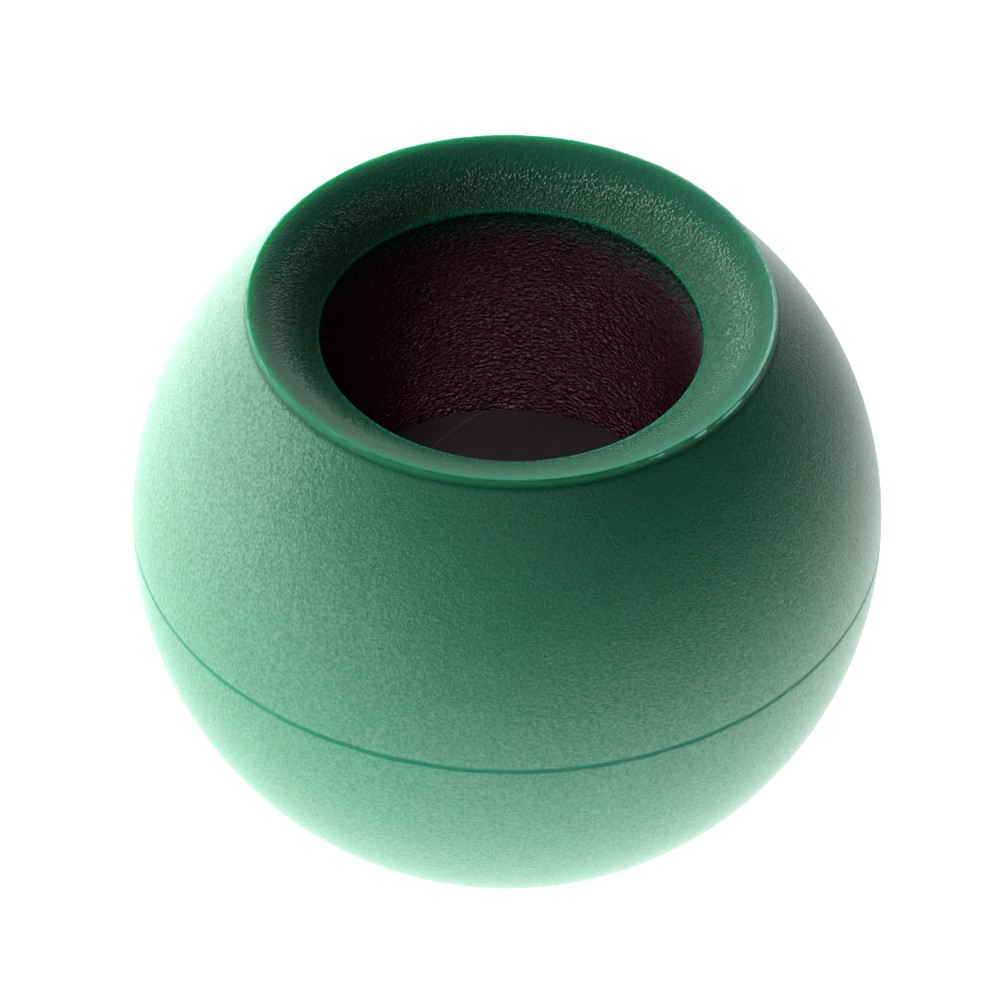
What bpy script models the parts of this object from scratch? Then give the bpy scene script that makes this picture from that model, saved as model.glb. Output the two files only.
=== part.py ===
"""Pipette filler bulb: a hollow ball in two halves, a pull-out mouth insert with a blind socket,
and an exhaust check valve in the foot.

All pieces are turned about Z. Heights in the constants are measured from the ball's centre, and the
model stands on its foot with the origin at the foot's centre.
"""

from math import asin, atan2, cos, pi, radians, sin, sqrt

import bmesh
import bpy
from mathutils import Matrix

MM = 0.001
GAP = 0.3 * MM  # between pieces that touch

# Ball
BALL_R = 25.0 * MM
WALL = 2.0 * MM
FOOT_R = 9.5 * MM
BASE_INSIDE_Z = -20.6 * MM  # flat inside of the base, which carries the valve
FOOT_Z = -sqrt(BALL_R**2 - FOOT_R**2)
CENTRE_Z = -FOOT_Z

# Joint at the equator
SEAM_GAP = 0.3 * MM
TONGUE_R = 23.7 * MM
TONGUE_INNER_R = 22.6 * MM
TONGUE_TOP_Z = 2.0 * MM
SEAM_SEAL_HEIGHT = 1.0 * MM
SEAM_SEAL_WIDTH = 1.0 * MM

# Mouth
LIP_R = 17.45 * MM
LIP_Z = 18.52 * MM
LIP_LAND = 0.25 * MM  # narrow flat on top of the lip
LIP_UNDER_Z = 17.75 * MM
BORE_R = 12.65 * MM
BORE_TOP_Z = 15.92 * MM
DISH_TURN = radians(21.5)  # half the turn of the dish's curve, from the lip to the bore
BORE_LIP_Z = 15.1 * MM  # lower edge of the funnel's own ring of bore
SKIRT_R = 16.2 * MM
SKIRT_INNER_R = 14.25 * MM
SKIRT_BOTTOM_Z = -10.0 * MM
NECK_BOTTOM_Z = 8.0 * MM
NECK_WALL = 1.5 * MM

# Ring seal on the skirt
NECK_SEAL_Z = (11.4 * MM, 12.8 * MM)
NECK_SEAL_INNER_R = 15.4 * MM

# Socket
FLOOR_Z = -1.6 * MM
SEAT_THICKNESS = 1.5 * MM
PORT_R = 2.5 * MM
PORT_CONE_R = 4.5 * MM
PORT_CONE_DEPTH = 1.1 * MM
LEDGE_R = 10.6 * MM
LEDGE_THICKNESS = 1.4 * MM

# Filter
MEMBRANE_THICKNESS = 0.4 * MM
PLATE_THICKNESS = 1.5 * MM
PLATE_HOLE_R = 1.2 * MM
PLATE_HOLE_CIRCLE_R = 6.5 * MM
PLATE_HOLES = 6
CLAMP_INNER_R = 11.0 * MM

# Check valve
VALVE_HOLE_R = 6.2 * MM
VALVE_FLANGE_R = 8.2 * MM
VALVE_FLANGE_HEIGHT = 1.2 * MM
VALVE_RECESS = 0.5 * MM
VALVE_DOME_R = 4.6 * MM
VALVE_WALL = 1.2 * MM
CHAMBER_R = 3.3 * MM
VALVE_PORT_R = 1.5 * MM
CAGE_THICKNESS = 1.0 * MM
CAGE_HOLE_R = 0.6 * MM
CAGE_HOLE_CIRCLE_R = 2.6 * MM
CAGE_HOLES = 6
VALVE_BALL_R = 2.5 * MM
VALVE_BALL_TRAVEL = 1.3 * MM
VALVE_BALL_CLEARANCE = 0.15 * MM
VALVE_SEAT_HOLE_R = 1.6 * MM
VALVE_SEAT_HEIGHT = 1.2 * MM

# Fineness of the turned surfaces
SHELL_STEPS = 60
RING_STEPS = 48
SMALL_STEPS = 32
HOLE_STEPS = 12
BALL_STEPS = (24, 14)
SHELL_ARC_STEP = radians(6)
DISH_POINTS = 6
SHARP_ANGLE = radians(40)
MERGE_DISTANCE = 0.01 * MM
CUT_OVERRUN = 1.0 * MM

GREEN = (0.045, 0.26, 0.15)
DARK_ELASTOMER = (0.018, 0.010, 0.014)
DARK_FLOOR = (0.020, 0.018, 0.020)
SEAL_BLACK = (0.012, 0.012, 0.013)
MEMBRANE_WHITE = (0.80, 0.80, 0.78)
NATURAL_PLASTIC = (0.62, 0.64, 0.62)
BALL_WHITE = (0.75, 0.75, 0.72)


# ---------------------------------------------------------------- scene and materials

def clear_scene():
    for obj in list(bpy.data.objects):
        bpy.data.objects.remove(obj, do_unlink=True)
    for collection in list(bpy.data.collections):
        bpy.data.collections.remove(collection)


def make_collection(name):
    collection = bpy.data.collections.new(name)
    bpy.context.scene.collection.children.link(collection)
    return collection


def make_material(name, colour, roughness):
    material = bpy.data.materials.new(name)
    material.use_nodes = True
    shader = material.node_tree.nodes["Principled BSDF"]
    shader.inputs["Base Color"].default_value = (*colour, 1.0)
    shader.inputs["Roughness"].default_value = roughness
    shader.inputs["Metallic"].default_value = 0.0
    return material


# ---------------------------------------------------------------- building turned pieces

def sphere_arc(radius, z_start, z_end):
    """Points of a circle about the ball's centre, as (radius from Z, height), between two heights."""
    start = asin(z_start / radius)
    end = asin(z_end / radius)
    count = max(1, round(abs(end - start) / SHELL_ARC_STEP))
    angles = [start + (end - start) * i / count for i in range(count + 1)]
    return [(radius * cos(a), radius * sin(a)) for a in angles]


def bulged_arc(start, end, half_turn, count):
    """Points of a circular arc from start to end that turns by twice half_turn, bulging left."""
    (r0, z0), (r1, z1) = start, end
    chord = sqrt((r1 - r0) ** 2 + (z1 - z0) ** 2)
    direction = atan2(z1 - z0, r1 - r0)
    arc_radius = chord / (2 * sin(half_turn))
    points = []
    for i in range(count + 1):
        turn = -half_turn + 2 * half_turn * i / count
        along = chord / 2 + arc_radius * sin(turn)
        across = arc_radius * (cos(turn) - cos(half_turn))
        points.append((
            r0 + along * cos(direction) - across * sin(direction),
            z0 + along * sin(direction) + across * cos(direction),
        ))
    return points


def turned(name, outline, steps, material, collection):
    """A solid of revolution. The outline runs down its outer side and back up its inner side."""
    mesh = bpy.data.meshes.new(name)
    mesh.from_pydata(
        [(r, 0.0, z) for r, z in outline],
        [(i, (i + 1) % len(outline)) for i in range(len(outline))],
        [],
    )
    obj = bpy.data.objects.new(name, mesh)
    obj.location.z = CENTRE_Z
    collection.objects.link(obj)
    screw = obj.modifiers.new("turn", "SCREW")
    screw.axis = "Z"
    screw.angle = 2 * pi
    screw.steps = screw.render_steps = steps
    screw.use_merge_vertices = True
    screw.merge_threshold = MERGE_DISTANCE
    screw.use_smooth_shade = True
    obj.data.materials.append(material)
    return obj


def ring(name, outer_r, inner_r, z_low, z_high, steps, material, collection):
    """A plain ring about Z with a square section."""
    outline = [(outer_r, z_high), (outer_r, z_low), (inner_r, z_low), (inner_r, z_high)]
    return turned(name, outline, steps, material, collection)


def disc(name, radius, z_low, z_high, steps, material, collection):
    """A plain flat disc about Z."""
    mesh = bpy.data.meshes.new(name)
    shape = bmesh.new()
    bmesh.ops.create_cone(
        shape,
        cap_ends=True,
        segments=steps,
        radius1=radius,
        radius2=radius,
        depth=z_high - z_low,
        matrix=Matrix.Translation((0.0, 0.0, (z_low + z_high) / 2)),
    )
    shape.to_mesh(mesh)
    shape.free()
    mesh.shade_smooth()
    mesh.set_sharp_from_angle(angle=SHARP_ANGLE)
    obj = bpy.data.objects.new(name, mesh)
    obj.location.z = CENTRE_Z
    collection.objects.link(obj)
    obj.data.materials.append(material)
    return obj


def hole_cutters(name, count, circle_r, hole_r, z_low, z_high, collection):
    """Round cutters on a circle about Z, as one cutter object."""
    mesh = bpy.data.meshes.new(name)
    shape = bmesh.new()
    for i in range(count):
        turn = 2 * pi * i / count
        centre = (circle_r * cos(turn), circle_r * sin(turn), (z_low + z_high) / 2)
        bmesh.ops.create_cone(
            shape,
            cap_ends=True,
            segments=HOLE_STEPS,
            radius1=hole_r,
            radius2=hole_r,
            depth=z_high - z_low,
            matrix=Matrix.Translation(centre),
        )
    shape.to_mesh(mesh)
    shape.free()
    cutter = bpy.data.objects.new(name, mesh)
    cutter.location.z = CENTRE_Z
    cutter.hide_render = True
    cutter.display_type = "WIRE"
    collection.objects.link(cutter)
    return cutter


def cut(obj, cutter):
    boolean = obj.modifiers.new("holes", "BOOLEAN")
    boolean.operation = "DIFFERENCE"
    boolean.solver = "EXACT"
    boolean.object = cutter


# ---------------------------------------------------------------- ball

def upper_shell(material, collection):
    inner_r = BALL_R - WALL
    neck_r = SKIRT_R + GAP
    land_r = LIP_R + GAP
    land_z = LIP_UNDER_Z - GAP
    rebate_r = TONGUE_R + GAP
    shoulder_z = TONGUE_TOP_Z + SEAM_SEAL_HEIGHT + 2 * GAP
    neck_outer_r = neck_r + NECK_WALL
    outline = sphere_arc(BALL_R, sqrt(BALL_R**2 - land_r**2), SEAM_GAP / 2)
    outline += [(rebate_r, SEAM_GAP / 2), (rebate_r, shoulder_z)]
    outline += sphere_arc(inner_r, shoulder_z, sqrt(inner_r**2 - neck_outer_r**2))
    outline += [
        (neck_outer_r, NECK_BOTTOM_Z),
        (neck_r, NECK_BOTTOM_Z),
        (neck_r, land_z),
        (land_r, land_z),
    ]
    return turned("upper_shell", outline, SHELL_STEPS, material, collection)


def lower_shell(material, collection):
    inner_r = BALL_R - WALL
    tongue_foot_z = -sqrt(inner_r**2 - TONGUE_INNER_R**2)
    outline = [
        (TONGUE_R, TONGUE_TOP_Z),
        (TONGUE_R, -SEAM_GAP / 2),
    ]
    outline += sphere_arc(BALL_R, -SEAM_GAP / 2, FOOT_Z)
    outline += [(VALVE_HOLE_R, FOOT_Z), (VALVE_HOLE_R, BASE_INSIDE_Z)]
    outline += sphere_arc(inner_r, BASE_INSIDE_Z, tongue_foot_z)
    outline += [(TONGUE_INNER_R, TONGUE_TOP_Z)]
    return turned("lower_shell", outline, SHELL_STEPS, material, collection)


def seam_seal(material, collection):
    z_low = TONGUE_TOP_Z + GAP
    z_high = z_low + SEAM_SEAL_HEIGHT
    inner_r = TONGUE_R - SEAM_SEAL_WIDTH
    return ring("seam_seal", TONGUE_R, inner_r, z_low, z_high, SHELL_STEPS, material, collection)


# ---------------------------------------------------------------- mouth insert

def mouth_funnel(material, collection):
    groove_low = NECK_SEAL_Z[0] - GAP
    groove_high = NECK_SEAL_Z[1] + GAP
    groove_r = NECK_SEAL_INNER_R - GAP
    outline = [
        (LIP_R, LIP_Z),
        (LIP_R, LIP_UNDER_Z),
        (SKIRT_R, LIP_UNDER_Z),
        (SKIRT_R, groove_high),
        (groove_r, groove_high),
        (groove_r, groove_low),
        (SKIRT_R, groove_low),
        (SKIRT_R, SKIRT_BOTTOM_Z),
        (SKIRT_INNER_R, SKIRT_BOTTOM_Z),
        (SKIRT_INNER_R, BORE_LIP_Z),
        (BORE_R, BORE_LIP_Z),
    ]
    outline += bulged_arc(
        (BORE_R, BORE_TOP_Z), (LIP_R - LIP_LAND, LIP_Z), DISH_TURN, DISH_POINTS
    )
    return turned("mouth_funnel", outline, SHELL_STEPS, material, collection)


def neck_seal(material, collection):
    z_low, z_high = NECK_SEAL_Z
    return ring(
        "neck_seal", SKIRT_R, NECK_SEAL_INNER_R, z_low, z_high, SHELL_STEPS, material, collection
    )


def ledge_top_z():
    return FLOOR_Z - SEAT_THICKNESS - GAP


def liner_bottom_z():
    return ledge_top_z() - LEDGE_THICKNESS


def plate_top_z():
    return liner_bottom_z() - MEMBRANE_THICKNESS - 2 * GAP


def socket_liner(material, collection):
    top = BORE_LIP_Z - GAP
    outer_r = SKIRT_INNER_R - GAP
    outline = [
        (outer_r, top),
        (outer_r, liner_bottom_z()),
        (LEDGE_R, liner_bottom_z()),
        (LEDGE_R, ledge_top_z()),
        (BORE_R, ledge_top_z()),
        (BORE_R, top),
    ]
    return turned("socket_liner", outline, RING_STEPS, material, collection)


def seat_disc(material, collection):
    edge_r = BORE_R - GAP
    outline = [
        (edge_r, FLOOR_Z),
        (edge_r, FLOOR_Z - SEAT_THICKNESS),
        (PORT_R, FLOOR_Z - SEAT_THICKNESS),
        (PORT_R, FLOOR_Z - PORT_CONE_DEPTH),
        (PORT_CONE_R, FLOOR_Z),
    ]
    return turned("seat_disc", outline, RING_STEPS, material, collection)


def filter_membrane(material, collection):
    z_high = liner_bottom_z() - GAP
    z_low = z_high - MEMBRANE_THICKNESS
    return disc("filter_membrane", SKIRT_INNER_R - GAP, z_low, z_high, RING_STEPS, material, collection)


def port_plate(material, collection, cutters):
    z_high = plate_top_z()
    z_low = z_high - PLATE_THICKNESS
    obj = disc("port_plate", SKIRT_INNER_R - GAP, z_low, z_high, RING_STEPS, material, collection)
    holes = hole_cutters(
        "port_plate_holes",
        PLATE_HOLES,
        PLATE_HOLE_CIRCLE_R,
        PLATE_HOLE_R,
        z_low - CUT_OVERRUN,
        z_high + CUT_OVERRUN,
        cutters,
    )
    cut(obj, holes)
    return obj


def clamp_ring(material, collection):
    z_high = plate_top_z() - PLATE_THICKNESS - GAP
    outer_r = SKIRT_INNER_R - GAP
    return ring(
        "clamp_ring", outer_r, CLAMP_INNER_R, SKIRT_BOTTOM_Z, z_high, RING_STEPS, material, collection
    )


# ---------------------------------------------------------------- check valve

def valve_bottom_z():
    return FOOT_Z + VALVE_RECESS


def ball_rest_z():
    return valve_bottom_z() + CAGE_THICKNESS + VALVE_BALL_CLEARANCE + VALVE_BALL_R


def seat_low_z():
    closed = ball_rest_z() + VALVE_BALL_TRAVEL + VALVE_BALL_CLEARANCE
    return closed + sqrt(VALVE_BALL_R**2 - VALVE_SEAT_HOLE_R**2)


def valve_body(material, collection):
    flange_low = BASE_INSIDE_Z + GAP
    flange_high = flange_low + VALVE_FLANGE_HEIGHT
    roof_low = seat_low_z() + VALVE_SEAT_HEIGHT + GAP
    roof_high = roof_low + VALVE_WALL
    cage_high = valve_bottom_z() + CAGE_THICKNESS + GAP
    outline = [
        (VALVE_DOME_R, roof_high),
        (VALVE_DOME_R, flange_high),
        (VALVE_FLANGE_R, flange_high),
        (VALVE_FLANGE_R, flange_low),
        (VALVE_HOLE_R - GAP, flange_low),
        (VALVE_HOLE_R - GAP, valve_bottom_z()),
        (VALVE_DOME_R, valve_bottom_z()),
        (VALVE_DOME_R, cage_high),
        (CHAMBER_R, cage_high),
        (CHAMBER_R, roof_low),
        (VALVE_PORT_R, roof_low),
        (VALVE_PORT_R, roof_high),
    ]
    return turned("valve_body", outline, SMALL_STEPS, material, collection)


def valve_seat(material, collection):
    z_low = seat_low_z()
    z_high = z_low + VALVE_SEAT_HEIGHT
    outer_r = CHAMBER_R - GAP
    return ring(
        "valve_seat", outer_r, VALVE_SEAT_HOLE_R, z_low, z_high, SMALL_STEPS, material, collection
    )


def valve_cage(material, collection, cutters):
    z_low = valve_bottom_z()
    z_high = z_low + CAGE_THICKNESS
    obj = disc("valve_cage", VALVE_DOME_R - GAP, z_low, z_high, SMALL_STEPS, material, collection)
    holes = hole_cutters(
        "valve_cage_holes",
        CAGE_HOLES,
        CAGE_HOLE_CIRCLE_R,
        CAGE_HOLE_R,
        z_low - CUT_OVERRUN,
        z_high + CUT_OVERRUN,
        cutters,
    )
    cut(obj, holes)
    return obj


def valve_ball(material, collection):
    mesh = bpy.data.meshes.new("valve_ball")
    shape = bmesh.new()
    around, along = BALL_STEPS
    bmesh.ops.create_uvsphere(shape, u_segments=around, v_segments=along, radius=VALVE_BALL_R)
    shape.to_mesh(mesh)
    shape.free()
    mesh.shade_smooth()
    obj = bpy.data.objects.new("valve_ball", mesh)
    obj.location.z = CENTRE_Z + ball_rest_z()
    collection.objects.link(obj)
    obj.data.materials.append(material)
    return obj


# ---------------------------------------------------------------- moving groups

def group_under(name, z, members, collection):
    """An empty on a sliding group's axis, with the group's pieces as its children."""
    empty = bpy.data.objects.new(name, None)
    empty.location.z = z
    collection.objects.link(empty)
    for member in members:
        member.parent = empty
        member.matrix_parent_inverse = Matrix.Translation((0.0, 0.0, -z))


def build():
    clear_scene()
    parts = make_collection("pipette_filler_bulb")
    cutters = make_collection("cutters")

    green = make_material("green_plastic", GREEN, 0.45)
    liner = make_material("dark_elastomer", DARK_ELASTOMER, 0.35)
    floor = make_material("dark_floor", DARK_FLOOR, 0.40)
    seal = make_material("seal_rubber", SEAL_BLACK, 0.50)
    membrane = make_material("filter_membrane", MEMBRANE_WHITE, 0.90)
    natural = make_material("natural_plastic", NATURAL_PLASTIC, 0.40)
    ball = make_material("ball_plastic", BALL_WHITE, 0.30)

    upper_shell(green, parts)
    lower_shell(green, parts)
    seam_seal(seal, parts)
    valve_body(natural, parts)
    valve_seat(seal, parts)
    valve_cage(natural, parts, cutters)
    insert = [
        mouth_funnel(green, parts),
        neck_seal(seal, parts),
        socket_liner(liner, parts),
        seat_disc(floor, parts),
        filter_membrane(membrane, parts),
        port_plate(natural, parts, cutters),
        clamp_ring(natural, parts),
    ]
    group_under("mouth_insert_axis", CENTRE_Z + LIP_UNDER_Z, insert, parts)
    valve_ball(ball, parts)


build()
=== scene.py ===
"""Looks of the pipette filler bulb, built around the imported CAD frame."""

from math import acos, asin, atan2, cos, pi, radians, sin, sqrt, tan

import bpy
import numpy as np
from mathutils import Matrix, Vector


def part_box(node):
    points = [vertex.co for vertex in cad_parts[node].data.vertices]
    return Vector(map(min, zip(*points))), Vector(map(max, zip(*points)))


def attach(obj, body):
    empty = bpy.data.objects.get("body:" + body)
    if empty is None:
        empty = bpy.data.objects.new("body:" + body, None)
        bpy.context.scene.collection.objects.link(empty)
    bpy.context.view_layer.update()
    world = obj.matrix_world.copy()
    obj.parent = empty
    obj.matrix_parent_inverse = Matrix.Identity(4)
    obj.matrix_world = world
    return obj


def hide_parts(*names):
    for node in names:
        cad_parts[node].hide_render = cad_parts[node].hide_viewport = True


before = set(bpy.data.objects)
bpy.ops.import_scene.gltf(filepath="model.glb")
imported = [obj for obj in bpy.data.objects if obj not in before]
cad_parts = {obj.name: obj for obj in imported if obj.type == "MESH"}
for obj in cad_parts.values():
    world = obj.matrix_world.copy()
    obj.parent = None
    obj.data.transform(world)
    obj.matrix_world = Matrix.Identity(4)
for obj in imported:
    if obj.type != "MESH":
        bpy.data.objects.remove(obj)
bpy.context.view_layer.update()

MM = 0.001

# ---------------------------------------------------------------- sizes read from the frame

upper_low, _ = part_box("upper_shell")
_, lower_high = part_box("lower_shell")
_, funnel_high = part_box("mouth_funnel")
_, seat_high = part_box("seat_disc")
neck_seal_low, neck_seal_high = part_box("neck_seal")

SEAM_GAP = 0.3 * MM  # the frame's gap between the halves
BALL_R = lower_high.x
CENTRE_Z = upper_low.z - SEAM_GAP / 2
WALL = 2.0 * MM
FOOT_R = sqrt(BALL_R**2 - CENTRE_Z**2)
LIP_R = funnel_high.x
LIP_Z = funnel_high.z - CENTRE_Z
SEAT_GAP = 0.3 * MM  # the frame's gap round the seat disc
BORE_R = seat_high.x + SEAT_GAP
DISH_DEPTH = 2.6 * MM
BORE_TOP_Z = LIP_Z - DISH_DEPTH
LINER_SET = 0.82 * MM  # the liner starts this far below the bore's edge
LINER_TOP_Z = BORE_TOP_Z - LINER_SET
FLOOR_Z = seat_high.z - CENTRE_Z


# ---------------------------------------------------------------- outlines and turned meshes

FILLET_STEPS = 4
SHARP_ANGLE = radians(50)


def sphere_arc(radius, z_start, z_end, step):
    """Points (radius from Z, height) of a circle about the ball's centre, between two heights."""
    start, end = asin(z_start / radius), asin(z_end / radius)
    count = max(1, round(abs(end - start) / step))
    angles = [start + (end - start) * i / count for i in range(count + 1)]
    return [(radius * cos(a), radius * sin(a)) for a in angles]


def bulged_arc(start, end, half_turn, count):
    """Points of a circular arc from start to end that turns by twice half_turn, bulging left."""
    (r0, z0), (r1, z1) = start, end
    chord = sqrt((r1 - r0) ** 2 + (z1 - z0) ** 2)
    direction = atan2(z1 - z0, r1 - r0)
    arc_radius = chord / (2 * sin(half_turn))
    points = []
    for i in range(count + 1):
        turn = -half_turn + 2 * half_turn * i / count
        along = chord / 2 + arc_radius * sin(turn)
        across = arc_radius * (cos(turn) - cos(half_turn))
        points.append((
            r0 + along * cos(direction) - across * sin(direction),
            z0 + along * sin(direction) + across * cos(direction),
        ))
    return points


def straight(start, end, step):
    """Points from start to end, a step apart, without the end itself."""
    length = sqrt((end[0] - start[0]) ** 2 + (end[1] - start[1]) ** 2)
    count = max(1, round(length / step))
    return [
        (start[0] + (end[0] - start[0]) * i / count, start[1] + (end[1] - start[1]) * i / count)
        for i in range(count)
    ]


def fillet(before, corner, after, radius):
    """Points of a round of the given radius in place of a corner."""
    corner_v = Vector(corner)
    to_before = (Vector(before) - corner_v).normalized()
    to_after = (Vector(after) - corner_v).normalized()
    half = acos(max(-1.0, min(1.0, to_before.dot(to_after)))) / 2
    reach = radius / tan(half)
    centre = corner_v + (to_before + to_after).normalized() * (radius / sin(half))
    start = corner_v + to_before * reach - centre
    end = corner_v + to_after * reach - centre
    turn = atan2(start.x * end.y - start.y * end.x, start.dot(end))
    points = []
    for i in range(FILLET_STEPS + 1):
        a = turn * i / FILLET_STEPS
        points.append((
            centre.x + start.x * cos(a) - start.y * sin(a),
            centre.y + start.x * sin(a) + start.y * cos(a),
        ))
    return points


def lathe(name, outline, steps, material, shape=None):
    """A fine solid of revolution. shape(angle, r, z) returns the r and z to use, as arrays."""
    outline = np.array(outline)
    count = len(outline)
    angles = np.arange(steps) * 2 * pi / steps
    turn = np.repeat(angles, count)
    r = np.tile(outline[:, 0], steps)
    z = np.tile(outline[:, 1], steps)
    if shape is not None:
        r, z = shape(turn, r, z)
    points = np.stack([r * np.cos(turn), r * np.sin(turn), z + CENTRE_Z], axis=1)
    ring = np.arange(count)
    faces = []
    for i in range(steps):
        here, there = i * count, (i + 1) % steps * count
        following = (ring + 1) % count
        faces.append(np.stack([ring + here, following + here, following + there, ring + there], 1))
    mesh = bpy.data.meshes.new(name)
    mesh.from_pydata(points.tolist(), [], np.concatenate(faces)[:, ::-1].tolist())
    mesh.update()
    mesh.shade_smooth()
    mesh.set_sharp_from_angle(angle=SHARP_ANGLE)
    obj = bpy.data.objects.new(name, mesh)
    bpy.context.scene.collection.objects.link(obj)
    mesh.materials.append(material)
    return obj


# ---------------------------------------------------------------- node materials

class Nodes:
    """Short names for building a material's node tree."""

    def __init__(self, name):
        self.material = bpy.data.materials.new(name)
        self.material.use_nodes = True
        self.tree = self.material.node_tree
        self.shader = self.tree.nodes["Principled BSDF"]

    def add(self, kind, **values):
        node = self.tree.nodes.new(kind)
        for key, value in values.items():
            setattr(node, key, value)
        return node

    def link(self, source, target):
        self.tree.links.new(source, target)

    def feed(self, value, socket):
        """Sets a socket to a number or a colour, or links a node's output to it."""
        if isinstance(value, (int, float)):
            socket.default_value = value
        elif isinstance(value, tuple):
            socket.default_value = (*value, 1.0)
        else:
            self.link(value, socket)

    def position(self):
        return self.add("ShaderNodeTexCoord").outputs["Object"]

    def noise(self, vector, scale, detail, roughness=0.5):
        node = self.add("ShaderNodeTexNoise")
        node.inputs["Scale"].default_value = scale
        node.inputs["Detail"].default_value = detail
        node.inputs["Roughness"].default_value = roughness
        self.link(vector, node.inputs["Vector"])
        return node.outputs["Fac"]

    def shifted(self, vector, amount):
        node = self.add("ShaderNodeVectorMath", operation="ADD")
        node.inputs[1].default_value = (amount, amount, amount)
        self.link(vector, node.inputs[0])
        return node.outputs["Vector"]

    def voronoi(self, vector, scale, feature="F1", smoothness=None):
        node = self.add("ShaderNodeTexVoronoi", feature=feature)
        node.inputs["Scale"].default_value = scale
        if smoothness is not None:
            node.inputs["Smoothness"].default_value = smoothness
        self.link(vector, node.inputs["Vector"])
        return node.outputs["Distance"]

    def math(self, operation, *values):
        node = self.add("ShaderNodeMath", operation=operation)
        for value, socket in zip(values, node.inputs):
            self.feed(value, socket)
        return node.outputs[0]

    def remap(self, value, low, high, to_low, to_high, smooth=False):
        node = self.add("ShaderNodeMapRange")
        if smooth:
            node.interpolation_type = "SMOOTHSTEP"
        keys = ("From Min", "From Max", "To Min", "To Max")
        for key, number in zip(keys, (low, high, to_low, to_high)):
            node.inputs[key].default_value = number
        self.link(value, node.inputs["Value"])
        return node.outputs["Result"]

    def bump(self, height, strength, distance):
        node = self.add("ShaderNodeBump")
        node.inputs["Strength"].default_value = strength
        node.inputs["Distance"].default_value = distance
        self.link(height, node.inputs["Height"])
        return node.outputs["Normal"]

    def split(self, vector):
        node = self.add("ShaderNodeSeparateXYZ")
        self.link(vector, node.inputs[0])
        return node.outputs

    def length(self, x, y):
        squares = self.math("ADD", self.math("MULTIPLY", x, x), self.math("MULTIPLY", y, y))
        return self.math("SQRT", squares)

    def towards(self, x, y, side):
        """How far a place lies towards a side, which is the x and y of a direction."""
        return self.math(
            "ADD", self.math("MULTIPLY", x, side[0]), self.math("MULTIPLY", y, side[1])
        )

    def join(self, x, y, z):
        node = self.add("ShaderNodeCombineXYZ")
        for value, socket in zip((x, y, z), node.inputs):
            self.link(value, socket)
        return node.outputs[0]

    def mix_number(self, factor, a, b):
        node = self.add("ShaderNodeMix", data_type="FLOAT")
        for value, i in ((factor, 0), (a, 2), (b, 3)):
            self.feed(value, node.inputs[i])
        return node.outputs[0]

    def mix_colour(self, factor, a, b):
        node = self.add("ShaderNodeMix", data_type="RGBA")
        for value, i in ((factor, 0), (a, 6), (b, 7)):
            self.feed(value, node.inputs[i])
        return node.outputs[2]


GREEN = (0.049, 0.320, 0.187)
GREEN_DARK = (0.041, 0.284, 0.162)
SEAM_GREEN = (0.015, 0.29, 0.165)
LIP_GLOW_GREEN = (0.062, 0.50, 0.31)  # painted light: a green glow, as of light let through the thin lip
# painted light: the bore's raised edge painted as a bright, lit green line
BORE_EDGE_LIT_GREEN = (0.004, 0.42, 0.22)
WALL_SHADE_GREEN = (0.006, 0.18, 0.082)  # painted shade on the lip's outer wall and in the groove under it
BORE_SHADE = (0.090, 0.055, 0.045)  # painted shade: the dish darkens and loses its green towards the dark bore
EDGE_HIGHLIGHT_GREEN = (0.36, 0.88, 0.70)  # painted highlight on the lip's crisp edge and on its paper-thin flash
# painted light and shade: green light painted into the liner's top, and shade on the funnel's wall
# under the bore's edge
DIM_BORE_WALL_GREEN = (0.003, 0.045, 0.022)
# painted shade: the liner's near-black purple stands in for the shade deep in the socket
LINER_SHADE_PURPLE = (0.069, 0.003, 0.024)
SEAT_DARK = (0.026, 0.019, 0.022)
SEAT_GREY = (0.036, 0.027, 0.031)
SCRATCH_GREY = (0.12, 0.10, 0.11)
SCRATCH_HALF_WIDTH = 0.06 * MM
SCRATCHES = (  # arcs: centre x and y, radius, strength
    (6.9 * MM, 1.2 * MM, 14.0 * MM, 0.8),
    (13.1 * MM, 1.7 * MM, 14.0 * MM, 0.3),
)
CRISP_SIDE = (0.94, 0.34)  # x and y of the side where the lip's edge is crisp and carries a painted highlight
UPPER_RELIEF, LOWER_RELIEF = 0.065 * MM, 0.040 * MM  # depth of the moulded grain
DISH_RELIEF, LINER_RELIEF = 0.13 * MM, 0.36 * MM
DOMES_PER_RADIAN, DOMES_PER_METRE = 74.0, 4300.0  # the dish's grain


def green_plastic(n, fleck):
    """Inner scatter and colour that all green pieces share. The fleck runs from 0 to 1."""
    mottle = n.noise(n.position(), 260.0, 3.0)
    shade = n.math("ADD", n.math("MULTIPLY", mottle, 0.4), n.math("MULTIPLY", fleck, 0.6))
    colour = n.mix_colour(n.remap(shade, 0.35, 0.65, 0.0, 1.0), GREEN_DARK, GREEN)
    n.shader.inputs["Subsurface Weight"].default_value = 0.6
    n.shader.inputs["Subsurface Radius"].default_value = (0.25, 1.0, 0.6)
    n.shader.inputs["Subsurface Scale"].default_value = 1.5 * MM
    n.shader.inputs["IOR"].default_value = 1.49
    return colour


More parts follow.
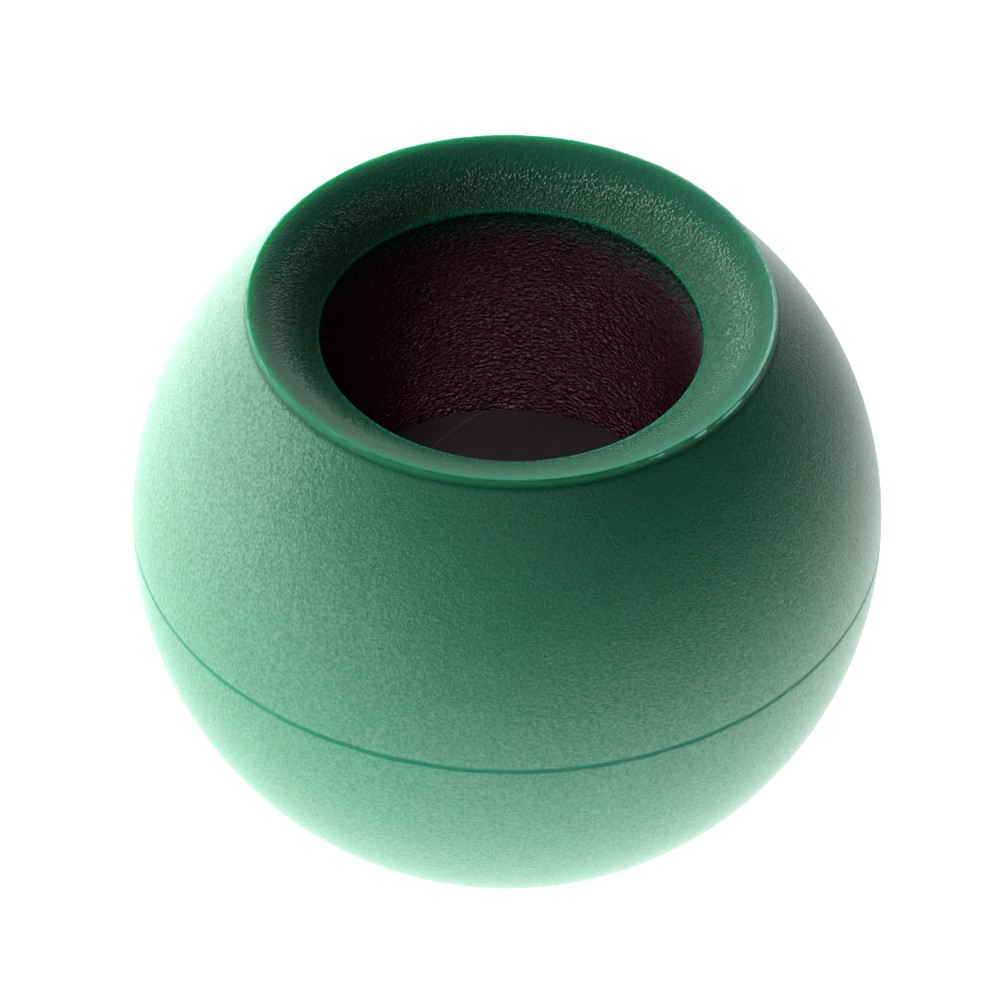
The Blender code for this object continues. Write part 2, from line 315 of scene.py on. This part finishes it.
def shell_material(relief):
    """Satin green plastic with the fine even grain of a spark-eroded mould."""
    n = Nodes("shell_green")
    place = n.position()
    _, _, z = n.split(place)
    fine = n.noise(place, 6200.0, 1.0)
    broad = n.noise(place, 2400.0, 1.0)
    grain = n.math("ADD", n.math("MULTIPLY", fine, 0.7), n.math("MULTIPLY", broad, 0.3))
    fleck = n.noise(n.shifted(place, 0.7), 4600.0, 1.0)
    drift = n.remap(n.noise(place, 350.0, 2.0), 0.3, 0.7, -SEAM_DRIFT, SEAM_DRIFT)
    off = n.math("ABSOLUTE", n.math("ADD", n.math("SUBTRACT", z, CENTRE_Z), drift))
    seam = n.remap(off, SEAM_HALF_WIDTH, 0.4 * SEAM_HALF_WIDTH, 0.0, 1.0, True)
    colour = green_plastic(n, fleck)
    n.link(n.mix_colour(seam, colour, SEAM_GREEN), n.shader.inputs["Base Color"])
    n.link(n.remap(grain, 0.3, 0.7, 0.30, 0.42), n.shader.inputs["Roughness"])
    gloss = n.remap(fleck, 0.35, 0.65, 0.3, 0.85)
    n.link(n.mix_number(seam, gloss, 0.1), n.shader.inputs["Specular IOR Level"])
    n.link(n.bump(grain, 1.0, relief), n.shader.inputs["Normal"])
    return n.material


def dish_grain(n, x, y, z, radius):
    """Low domes in rings round the axis, as a height from 0 between them to 1 on top."""
    angle = n.math("ARCTAN2", y, x)
    polar = n.join(
        n.math("MULTIPLY", angle, DOMES_PER_RADIAN),
        n.math("MULTIPLY", radius, DOMES_PER_METRE),
        n.math("MULTIPLY", z, DOMES_PER_METRE),
    )
    return n.remap(n.voronoi(polar, 1.0), 0.0, 0.7, 1.0, 0.0, True)


def mouth_colour(n, place, radius, z, crisp, wall):
    """Painted shade at the bore and under both edges; painted light in the thin lip, both edges and
    flash.
    """
    lip_top, bore_top = CENTRE_Z + LIP_Z, BORE_TOP_Z + CENTRE_Z
    fleck = n.noise(n.shifted(place, 0.7), 3300.0, 1.0)
    colour = green_plastic(n, fleck)
    # painted shade, deepest next to the bore
    shaded = n.remap(radius, BORE_R + 0.3 * MM, BORE_R + 3.4 * MM, 0.22, 0.0, True)
    colour = n.mix_colour(shaded, colour, BORE_SHADE)
    # painted light: a green glow in the thin lip, as of light let through it
    thin = n.remap(radius, LIP_R - 1.2 * MM, LIP_R - 0.1 * MM, 0.0, 1.0, True)
    above = n.remap(z, lip_top - 2.0 * MM, lip_top - 1.2 * MM, 0.0, 1.0)
    colour = n.mix_colour(n.math("MULTIPLY", thin, above), colour, LIP_GLOW_GREEN)
    # painted highlight on the crisp side of the lip's top
    land = n.remap(radius, LIP_R - 0.24 * MM, LIP_R - 0.18 * MM, 0.0, 0.7)
    pale = n.math("MULTIPLY", n.math("MULTIPLY", crisp, land), above)
    colour = n.mix_colour(pale, colour, EDGE_HIGHLIGHT_GREEN)
    # painted shade on the lip's outer wall and in the groove under it
    colour = n.mix_colour(wall, colour, WALL_SHADE_GREEN)
    # painted highlight on the flash that stands out beyond the lip's edge
    beyond = n.remap(radius, LIP_R + 0.02 * MM, LIP_R + 0.09 * MM, 0.0, 1.0)
    at_top = n.remap(z, lip_top - 0.5 * MM, lip_top - 0.4 * MM, 0.0, 1.0)
    colour = n.mix_colour(n.math("MULTIPLY", beyond, at_top), colour, EDGE_HIGHLIGHT_GREEN)
    # painted light: the bore's raised edge painted bright, as if lit
    lit_bore_edge = n.remap(radius, BORE_R + 0.18 * MM, BORE_R + 0.11 * MM, 0.0, 1.0)
    colour = n.mix_colour(lit_bore_edge, colour, BORE_EDGE_LIT_GREEN)
    # painted shade: the funnel's wall under the bore's edge is painted as dark as the liner
    below = n.remap(n.math("SUBTRACT", bore_top, z), 0.02 * MM, 0.30 * MM, 0.0, 1.0, True)
    inside = n.remap(radius, BORE_R + 0.06 * MM, BORE_R + 0.02 * MM, 0.0, 1.0)
    return n.mix_colour(n.math("MULTIPLY", below, inside), colour, DIM_BORE_WALL_GREEN)


def mouth_material():
    """The same green, with a coarse glossy grain next to the bore that fades out towards the lip.

    The lip's edge is glossy, with a painted highlight, on its crisp side; the dish is duller on the
    other side.
    The short wall under the bore's edge has painted shade, as dark as the liner below it.
    """
    n = Nodes("mouth_green")
    place = n.position()
    x, y, z = n.split(place)
    radius = n.length(x, y)
    outward = n.remap(radius, BORE_R + 0.8 * MM, LIP_R - 1.2 * MM, 0.0, 1.0, True)
    sideways = n.towards(x, y, CRISP_SIDE)
    crisp = n.remap(sideways, 0.55 * LIP_R, 0.9 * LIP_R, 0.0, 1.0, True)
    duller = n.remap(sideways, -0.75 * LIP_R, 0.1 * LIP_R, 0.12, 1.0, True)
    wall = n.remap(radius, LIP_R - 0.06 * MM, LIP_R - 0.01 * MM, 0.0, 1.0)
    colour = mouth_colour(n, place, radius, z, crisp, wall)
    n.link(colour, n.shader.inputs["Base Color"])
    grain = dish_grain(n, x, y, z, radius)
    glints = n.math("MULTIPLY", n.remap(grain, 0.3, 0.8, 0.1, 1.0), duller)
    gloss = n.mix_number(outward, glints, 0.2)
    bead = n.remap(radius, LIP_R - 0.36 * MM, LIP_R - 0.30 * MM, 0.0, 0.9)
    gloss = n.mix_number(bead, gloss, n.remap(crisp, 0.0, 1.0, 0.2, 1.0))
    n.link(n.mix_number(wall, gloss, 0.05), n.shader.inputs["Specular IOR Level"])
    n.link(n.remap(radius, BORE_R + MM, LIP_R - MM, 0.14, 0.30), n.shader.inputs["Roughness"])
    rough_ground = n.noise(place, 4800.0, 1.0)
    relief = n.mix_number(outward, 1.0, 0.12)
    height = n.math("MULTIPLY", n.math("ADD", grain, rough_ground), relief)
    n.link(n.bump(height, 1.0, DISH_RELIEF), n.shader.inputs["Normal"])
    n.shader.inputs["IOR"].default_value = 1.7
    return n.material


def liner_material():
    """Elastomer with a coarse, glossy, leather-like grain, dark with painted shade; painted green light
    in its top.
    """
    n = Nodes("socket_elastomer")
    place = n.position()
    x, y, z = n.split(place)
    depth = n.math("SUBTRACT", LINER_TOP_Z + CENTRE_Z, z)
    # painted light: the liner's top is painted green, fading out over 2.2 mm downwards
    shade = n.remap(depth, 0.0, 2.2 * MM, 1.0, 0.0, True)
    n.link(n.mix_colour(shade, LINER_SHADE_PURPLE, DIM_BORE_WALL_GREEN), n.shader.inputs["Base Color"])
    squeezed = n.join(x, y, n.math("MULTIPLY", z, 1.5))
    cells = n.voronoi(squeezed, 3000.0, "SMOOTH_F1", 0.4)
    grain = n.noise(squeezed, 3200.0, 3.0, 0.6)
    height = n.math("ADD", n.math("MULTIPLY", cells, 0.8), grain)
    n.link(n.bump(height, 1.0, LINER_RELIEF), n.shader.inputs["Normal"])
    n.link(n.remap(grain, 0.3, 0.7, 0.18, 0.30), n.shader.inputs["Roughness"])
    n.shader.inputs["IOR"].default_value = 1.6
    return n.material


def floor_material():
    """Smooth dark elastomer with a few curved hairline scratches."""
    n = Nodes("seat_elastomer")
    place = n.position()
    x, y, _ = n.split(place)
    haze = n.noise(place, 300.0, 3.0)
    worn = n.remap(haze, 0.3, 0.7, 0.0, 1.0)
    lines = 0.0
    for centre_x, centre_y, arc_radius, strength in SCRATCHES:
        dx, dy = n.math("SUBTRACT", x, centre_x), n.math("SUBTRACT", y, centre_y)
        off = n.math("ABSOLUTE", n.math("SUBTRACT", n.length(dx, dy), arc_radius))
        lines = n.math("ADD", lines, n.remap(off, 0.0, SCRATCH_HALF_WIDTH, strength, 0.0))
    plain = n.mix_colour(worn, SEAT_DARK, SEAT_GREY)
    n.link(n.mix_colour(lines, plain, SCRATCH_GREY), n.shader.inputs["Base Color"])
    n.link(n.remap(haze, 0.3, 0.7, 0.38, 0.50), n.shader.inputs["Roughness"])
    n.link(n.bump(n.noise(place, 4000.0, 2.0), 0.1, 0.03 * MM), n.shader.inputs["Normal"])
    return n.material


def plain_material(name, colour, rough_low, rough_high, grain_scale, strength):
    """One colour, slightly mottled, with a fine grain."""
    n = Nodes(name)
    place = n.position()
    grain = n.noise(place, grain_scale, 3.0)
    darker = tuple(0.85 * c for c in colour)
    mottled = n.mix_colour(n.remap(grain, 0.35, 0.65, 0.0, 1.0), darker, colour)
    n.link(mottled, n.shader.inputs["Base Color"])
    n.link(n.remap(grain, 0.3, 0.7, rough_low, rough_high), n.shader.inputs["Roughness"])
    n.link(n.bump(grain, strength, 0.04 * MM), n.shader.inputs["Normal"])
    return n.material


# ---------------------------------------------------------------- pieces

SHELL_ARC = radians(1.0)  # between points along the ball's outline
STEPS = 360  # round the axis
BEAD_R = LIP_R - 0.22 * MM  # inner edge of the bead on the lip
JOIN = 0.02 * MM  # hairline between the lip and the shell, and between the liner and the funnel
SKIRT_R = 16.2 * MM
SKIRT_INNER_R = 14.25 * MM
NECK_R = SKIRT_R + 0.3 * MM  # the frame's gap is left round the skirt
NECK_WALL = 1.5 * MM
NECK_BOTTOM_Z = 8.0 * MM
RECESS_R, RECESS_TOP_Z = 24.0 * MM, 3.6 * MM  # the upper half's recess, which takes the tongue
TONGUE_R, TONGUE_TOP_Z = 23.7 * MM, 2.0 * MM
TONGUE_INNER_R, TONGUE_ROOT_Z = 22.6 * MM, -4.27 * MM
FOOT_HOLE_R, FOOT_INNER_Z = 6.2 * MM, -20.6 * MM
SKIRT_BOTTOM_Z = -10.0 * MM
LINER_R, LINER_BOTTOM_Z = 13.95 * MM, -4.8 * MM
SHELF_R, SHELF_Z = 10.6 * MM, -3.4 * MM  # the liner's inner shelf, which carries the seat disc
SEAT_H = 1.5 * MM
PORT_R, PORT_CONE_R, PORT_CONE_H = 2.5 * MM, 4.5 * MM, 1.1 * MM
SEAL_ROOM = 0.1 * MM  # between the neck seal and its groove
GROOVE_TOP_Z = neck_seal_high.z + SEAL_ROOM - CENTRE_Z
GROOVE_BOTTOM_Z = neck_seal_low.z - SEAL_ROOM - CENTRE_Z
GROOVE_R = 15.3 * MM
DISH_TURN = radians(21.5)  # half the turn of the dish's arc
SEAM_HALF_WIDTH = 0.30 * MM
SEAM_DEPTH = 0.04 * MM
SEAM_HALF_GAP = 0.002 * MM  # half the hairline between the shells
SEAM_DRIFT = 0.06 * MM  # how far the joint line strays from its plane
SEAM_REACH = 1.2 * MM  # the joint line's wave fades out this far above and below it
SEAM_SKIN = 0.6 * MM  # only this outer layer of the shells is wavy
LIP_FLARE = 0.1 * MM  # the lip's wall runs out onto the ball this far
LIP_ROUND = 0.09 * MM
SKIRT_ROUND = 0.4 * MM
SEAT_ROUND = 0.12 * MM
BEAD_H = 0.06 * MM  # height of the bead on the lip
FLASH_REACH = 0.45 * MM  # the flash moves the lip's edge within this distance
FLASH_RISES_FROM = 0.04 * MM  # flash that stands out more than this also rises
FLASH = (  # degrees from +X, and how far the edge stands out there, in mm
    (-61.0, 0.0), (-57.0, 0.07), (-54.8, 0.09), (-54.3, -0.04), (-47.2, -0.02), (-46.6, 0.08),
    (-43.4, 0.12), (-42.9, 0.03), (-38.6, 0.05), (-38.1, 0.09), (-34.0, 0.13), (-31.2, 0.10),
    (-30.7, 0.05), (-24.0, 0.07), (-16.0, 0.04), (-6.0, 0.0),
)


def sphere_z(radius):
    return sqrt(BALL_R**2 - radius**2)


def ripple(angle, terms, seed):
    """A smooth closed wave round the axis, between about -1 and 1."""
    rng = np.random.default_rng(seed)
    total = np.zeros_like(angle)
    for count in terms:
        total += np.sin(count * angle + rng.uniform(0, 2 * pi)) * rng.uniform(0.5, 1.0)
    return total / sqrt(len(terms))


def seam_wave(angle, r, z):
    """The joint line runs slightly wavy. It only bends the edges next to it."""
    near = np.clip(1.0 - np.abs(z) / SEAM_REACH, 0.0, 1.0) * (r > BALL_R - SEAM_SKIN)
    wave = SEAM_DRIFT * ripple(angle, (5, 9, 14, 23, 37), 4)
    return r, z + wave * near


def seam_groove(side):
    """One half of the shallow groove at the joint line, from its outer edge to its bottom."""
    slope = SEAM_HALF_WIDTH - SEAM_HALF_GAP
    return [
        (BALL_R - depth * SEAM_DEPTH, side * (SEAM_HALF_GAP + away * slope))
        for away, depth in ((0.85, 0.06), (0.65, 0.35), (0.45, 0.70), (0.2, 0.94), (0.0, 1.0))
    ]


def build_upper_shell(material):
    inner_r = BALL_R - WALL
    neck_outer = NECK_R + NECK_WALL
    neck_top = sqrt(inner_r**2 - neck_outer**2)
    land_z = sphere_z(LIP_R)
    outline = sphere_arc(BALL_R, land_z, SEAM_HALF_WIDTH, SHELL_ARC)
    outline += seam_groove(1.0)
    outline += [(RECESS_R, SEAM_HALF_GAP), (RECESS_R, RECESS_TOP_Z)]
    outline += sphere_arc(inner_r, RECESS_TOP_Z, neck_top, 4 * SHELL_ARC)
    outline += [(neck_outer, NECK_BOTTOM_Z), (NECK_R, NECK_BOTTOM_Z), (NECK_R, land_z)]
    return lathe("upper_shell_moulding", outline, STEPS, material, seam_wave)


def build_lower_shell(material):
    inner_r = BALL_R - WALL
    outline = [(TONGUE_R, TONGUE_TOP_Z), (TONGUE_R, -SEAM_HALF_GAP)]
    outline += seam_groove(-1.0)[::-1]
    outline += sphere_arc(BALL_R, -SEAM_HALF_WIDTH, -CENTRE_Z + 0.15 * MM, SHELL_ARC)
    outline += [(FOOT_R - 0.1 * MM, -CENTRE_Z), (FOOT_HOLE_R, -CENTRE_Z)]
    outline += [(FOOT_HOLE_R, FOOT_INNER_Z)]
    outline += sphere_arc(inner_r, FOOT_INNER_Z, TONGUE_ROOT_Z, 4 * SHELL_ARC)
    outline += [(TONGUE_INNER_R, TONGUE_TOP_Z)]
    return lathe("lower_shell_moulding", outline, STEPS, material, seam_wave)


def lip_flash(angle, r, z):
    """The lip's edge runs a little uneven, with moulding flash torn off in steps on one side."""
    away = np.hypot(r - LIP_R, z - LIP_Z)
    near = np.clip(1.0 - away / FLASH_REACH, 0.0, 1.0)
    turned = (np.degrees(angle) + 180.0) % 360.0 - 180.0
    edge = 0.02 * MM * ripple(angle, (11, 17, 31, 53, 86), 7)
    torn = np.interp(turned, *zip(*FLASH)) * MM
    edge = edge + torn * (1.0 + 0.25 * ripple(angle, (97, 131, 173), 11))
    return r + edge * near, z + np.maximum(edge - FLASH_RISES_FROM, 0.0) * near


def lip_wall(under_z):
    """From the top of the bead over the lip's edge, down its wall and out onto the ball."""
    wall_end = (LIP_R, under_z + 0.2 * MM)
    flare_end = (LIP_R + LIP_FLARE, sphere_z(LIP_R + LIP_FLARE) + 0.6 * JOIN)
    points = fillet((BEAD_R, LIP_Z), (LIP_R, LIP_Z), (LIP_R, LIP_Z - MM), LIP_ROUND)
    points += straight((LIP_R, LIP_Z - 0.12 * MM), wall_end, 0.12 * MM)
    return points + bulged_arc(wall_end, flare_end, radians(-12), 6)


def skirt(under_z):
    """From under the lip down the outside with the seal's groove, and up to the bore."""
    inner_edge = (SKIRT_INNER_R, SKIRT_BOTTOM_Z)
    points = [(LIP_R, under_z), (SKIRT_R, under_z)]
    points += [(SKIRT_R, GROOVE_TOP_Z), (GROOVE_R, GROOVE_TOP_Z)]
    points += [(GROOVE_R, GROOVE_BOTTOM_Z), (SKIRT_R, GROOVE_BOTTOM_Z)]
    points += fillet((SKIRT_R, 0.0), (SKIRT_R, SKIRT_BOTTOM_Z), inner_edge, SKIRT_ROUND)
    return points + [inner_edge, (SKIRT_INNER_R, LINER_TOP_Z), (BORE_R, LINER_TOP_Z)]


def dish():
    """From the liner up the short wall, over the bore's raised edge and out to the lip's bead."""
    points = straight((BORE_R, LINER_TOP_Z), (BORE_R, BORE_TOP_Z - 0.02 * MM), 0.15 * MM)[1:]
    points += [
        (BORE_R + 0.03 * MM, BORE_TOP_Z + 0.045 * MM),
        (BORE_R + 0.09 * MM, BORE_TOP_Z + 0.05 * MM),
        (BORE_R + 0.14 * MM, BORE_TOP_Z + 0.02 * MM),
    ]
    start = (BORE_R + 0.18 * MM, BORE_TOP_Z + 0.03 * MM)
    points += bulged_arc(start, (BEAD_R - 0.12 * MM, LIP_Z - BEAD_H), DISH_TURN, 40)
    return points + [
        (BEAD_R - 0.05 * MM, LIP_Z - 0.72 * BEAD_H),
        (BEAD_R, LIP_Z - 0.30 * BEAD_H),
    ]


def build_funnel(material):
    under_z = sphere_z(LIP_R) + JOIN
    outline = [(BEAD_R + 0.06 * MM, LIP_Z)] + lip_wall(under_z) + skirt(under_z) + dish()
    return lathe("mouth_funnel_moulding", outline, 2 * STEPS, material, lip_flash)


def build_neck_seal(material):
    """Its outer side is crowned, and stands out of its groove a little."""
    low, high = GROOVE_BOTTOM_Z + SEAL_ROOM, GROOVE_TOP_Z - SEAL_ROOM
    inner, crown = GROOVE_R + SEAL_ROOM, SKIRT_R - 0.2 * MM
    outline = bulged_arc((crown, high), (crown, low), radians(50), 10)
    outline += [(inner, low), (inner, high)]
    return lathe("neck_seal_ring", outline, STEPS, material)


def build_liner(material):
    top = LINER_TOP_Z - JOIN
    outline = [(LINER_R, top), (LINER_R, LINER_BOTTOM_Z), (SHELF_R, LINER_BOTTOM_Z)]
    outline += [(SHELF_R, SHELF_Z), (BORE_R, SHELF_Z)]
    outline += straight((BORE_R, SHELF_Z + 0.1 * MM), (BORE_R, top), 0.5 * MM)
    outline += [(BORE_R, top)]
    return lathe("socket_liner_moulding", outline, 2 * STEPS, material)


def build_seat(material):
    edge = seat_high.x + SEAT_GAP / 2
    outline = fillet((edge - MM, FLOOR_Z), (edge, FLOOR_Z), (edge, FLOOR_Z - MM), SEAT_ROUND)
    outline += [(edge, FLOOR_Z - SEAT_H), (PORT_R, FLOOR_Z - SEAT_H)]
    outline += [(PORT_R, FLOOR_Z - PORT_CONE_H), (PORT_CONE_R, FLOOR_Z)]
    return lathe("seat_disc_moulding", outline, STEPS, material)


# ---------------------------------------------------------------- build

upper_green = shell_material(UPPER_RELIEF)
lower_green = shell_material(LOWER_RELIEF)
mouth_green = mouth_material()
liner_dark = liner_material()
floor_dark = floor_material()
seal_black = plain_material("seal_rubber", (0.012, 0.012, 0.013), 0.45, 0.6, 1500.0, 0.2)
membrane_white = plain_material("membrane", (0.8, 0.8, 0.78), 0.85, 0.95, 5000.0, 0.8)
natural = plain_material("natural_plastic", (0.62, 0.64, 0.62), 0.35, 0.45, 900.0, 0.15)
ball_white = plain_material("ball_plastic", (0.75, 0.75, 0.72), 0.2, 0.3, 600.0, 0.1)


def place_piece(obj, body, node):
    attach(obj, body)
    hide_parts(node)


place_piece(build_upper_shell(upper_green), "bulb", "upper_shell")
place_piece(build_lower_shell(lower_green), "bulb", "lower_shell")
place_piece(build_funnel(mouth_green), "mouth_insert", "mouth_funnel")
place_piece(build_liner(liner_dark), "mouth_insert", "socket_liner")
place_piece(build_seat(floor_dark), "mouth_insert", "seat_disc")
place_piece(build_neck_seal(seal_black), "mouth_insert", "neck_seal")

CARRIED = {  # the frame's own nodes that stay, and their materials
    "seam_seal": seal_black,
    "valve_seat": seal_black,
    "filter_membrane": membrane_white,
    "port_plate": natural,
    "clamp_ring": natural,
    "valve_body": natural,
    "valve_cage": natural,
    "valve_ball": ball_white,
}
for node, material in CARRIED.items():
    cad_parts[node].data.materials.clear()
    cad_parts[node].data.materials.append(material)


# ---------------------------------------------------------------- camera

CAMERA_DISTANCE = 25.26 * BALL_R
CAMERA_ELEVATION = radians(41.85)
CAMERA_ROLL = radians(1.33)
CAMERA_FOCAL_RATIO = 9.4498  # focal length over picture width
SENSOR = 36.0
AIM_OFFSET = (-0.0008, 0.0015)


def make_camera():
    centre = Vector((0.0, 0.0, CENTRE_Z))
    back = Vector((0.0, -cos(CAMERA_ELEVATION), sin(CAMERA_ELEVATION)))
    right = Vector((1.0, 0.0, 0.0))
    up = right.cross(-back)
    forward = (-back + right * AIM_OFFSET[0] + up * AIM_OFFSET[1]).normalized()
    right = (right - forward * right.dot(forward)).normalized()
    up = right.cross(forward)
    c, s = cos(CAMERA_ROLL), sin(CAMERA_ROLL)
    right, up = right * c + up * s, up * c - right * s
    data = bpy.data.cameras.new("camera")
    data.sensor_width = SENSOR
    data.lens = CAMERA_FOCAL_RATIO * SENSOR
    data.clip_start, data.clip_end = 0.01, 20.0
    camera = bpy.data.objects.new("camera", data)
    bpy.context.scene.collection.objects.link(camera)
    camera.matrix_world = Matrix.Translation(centre + back * CAMERA_DISTANCE) @ Matrix((
        (right.x, up.x, -forward.x, 0.0),
        (right.y, up.y, -forward.y, 0.0),
        (right.z, up.z, -forward.z, 0.0),
        (0.0, 0.0, 0.0, 1.0),
    ))
    bpy.context.scene.camera = camera


make_camera()


# ---------------------------------------------------------------- stage and light

TABLE_R = 2.5
TABLE_NEAR = 0.04  # the table glows evenly this far from the axis
TABLE_FAR = 0.13  # from here on, it is bright on one side and dim on the other
TABLE_SIDE = (-0.86, 0.5)  # x and y of the bright side
TABLE_GLOW = 2.05
TABLE_BRIGHT = 4.15
TABLE_DIM = 0.58
WHITE = 1.2
SNOOT_AZIMUTH = radians(252.0)  # a narrow lamp over the camera that only reaches into the socket
SNOOT_ELEVATION = radians(60.0)
SNOOT_DISTANCE = 0.35
SNOOT_REACH = 11.0 * MM
SNOOT_POWER = 2.4
SOFTBOXES = (  # azimuth from +X, elevation, inner and outer half angle, radiance
    (176.0, 11.0, 10.0, 27.0, 4.4),
    (133.0, 15.0, 8.0, 24.0, 5.4),
    (90.0, 26.0, 8.0, 26.0, 1.2),
    (62.0, 2.0, 6.0, 24.0, 1.35),
    (222.0, 2.0, 6.0, 26.0, 1.7),
    (270.0, 42.0, 12.0, 26.0, 0.3),
)


def white_to_camera(n, strength):
    """Ground and background stay plain white in the picture, whatever light they give."""
    seen = n.add("ShaderNodeLightPath").outputs["Is Camera Ray"]
    return n.mix_number(seen, strength, WHITE)


def make_floor():
    bpy.ops.mesh.primitive_circle_add(vertices=96, radius=TABLE_R, fill_type="NGON")
    floor = bpy.context.object
    floor.name = "floor"
    n = Nodes("floor_white")
    x, y, _ = n.split(n.position())
    radius = n.length(x, y)
    share = n.math("DIVIDE", n.towards(x, y, TABLE_SIDE), n.math("ADD", radius, MM))
    around = n.remap(share, -0.25, 1.0, TABLE_DIM, TABLE_BRIGHT)
    away = n.remap(radius, TABLE_NEAR, TABLE_FAR, 0.0, 1.0)
    glow = n.mix_number(away, TABLE_GLOW, around)
    n.shader.inputs["Base Color"].default_value = (0.0, 0.0, 0.0, 1.0)
    n.shader.inputs["Specular IOR Level"].default_value = 0.0
    n.shader.inputs["Emission Color"].default_value = (1.0, 1.0, 1.0, 1.0)
    n.link(white_to_camera(n, glow), n.shader.inputs["Emission Strength"])
    floor.data.materials.append(n.material)


class WorldNodes(Nodes):
    """The same short names, for the world's node tree."""

    def __init__(self, name):
        world = bpy.data.worlds.new(name)
        bpy.context.scene.world = world
        world.use_nodes = True
        self.tree = world.node_tree
        self.shader = self.tree.nodes["Background"]
        self.shader.inputs["Color"].default_value = (1.0, 1.0, 1.0, 1.0)


def make_world():
    """White softboxes, brightest at the left and back left. The one on the camera's side is dim."""
    n = WorldNodes("studio")
    direction = n.add("ShaderNodeTexCoord").outputs["Generated"]
    total = 0.0
    for azimuth, elevation, inner, outer, radiance in SOFTBOXES:
        a, e = radians(azimuth), radians(elevation)
        dot = n.add("ShaderNodeVectorMath", operation="DOT_PRODUCT")
        n.link(direction, dot.inputs[0])
        dot.inputs[1].default_value = (cos(a) * cos(e), sin(a) * cos(e), sin(e))
        box = n.remap(
            dot.outputs["Value"], cos(radians(outer)), cos(radians(inner)), 0.0, radiance, True
        )
        total = n.math("ADD", total, box)
    n.link(white_to_camera(n, total), n.shader.inputs["Strength"])


def make_snoot():
    lamp = bpy.data.lights.new("snoot", "SPOT")
    lamp.energy = SNOOT_POWER
    lamp.spot_size = 2 * atan2(SNOOT_REACH, SNOOT_DISTANCE)
    lamp.spot_blend = 0.5
    lamp.shadow_soft_size = 0.003
    a, e = SNOOT_AZIMUTH, SNOOT_ELEVATION
    back = Vector((cos(a) * cos(e), sin(a) * cos(e), sin(e)))
    target = Vector((0.0, 0.0, CENTRE_Z + BORE_TOP_Z))
    obj = bpy.data.objects.new("snoot", lamp)
    obj.matrix_world = Matrix.Translation(target + back * SNOOT_DISTANCE) @ (
        back.to_track_quat("Z", "Y").to_matrix().to_4x4()
    )
    bpy.context.scene.collection.objects.link(obj)


make_floor()
make_world()
make_snoot()
bpy.context.scene.view_settings.view_transform = "Standard"
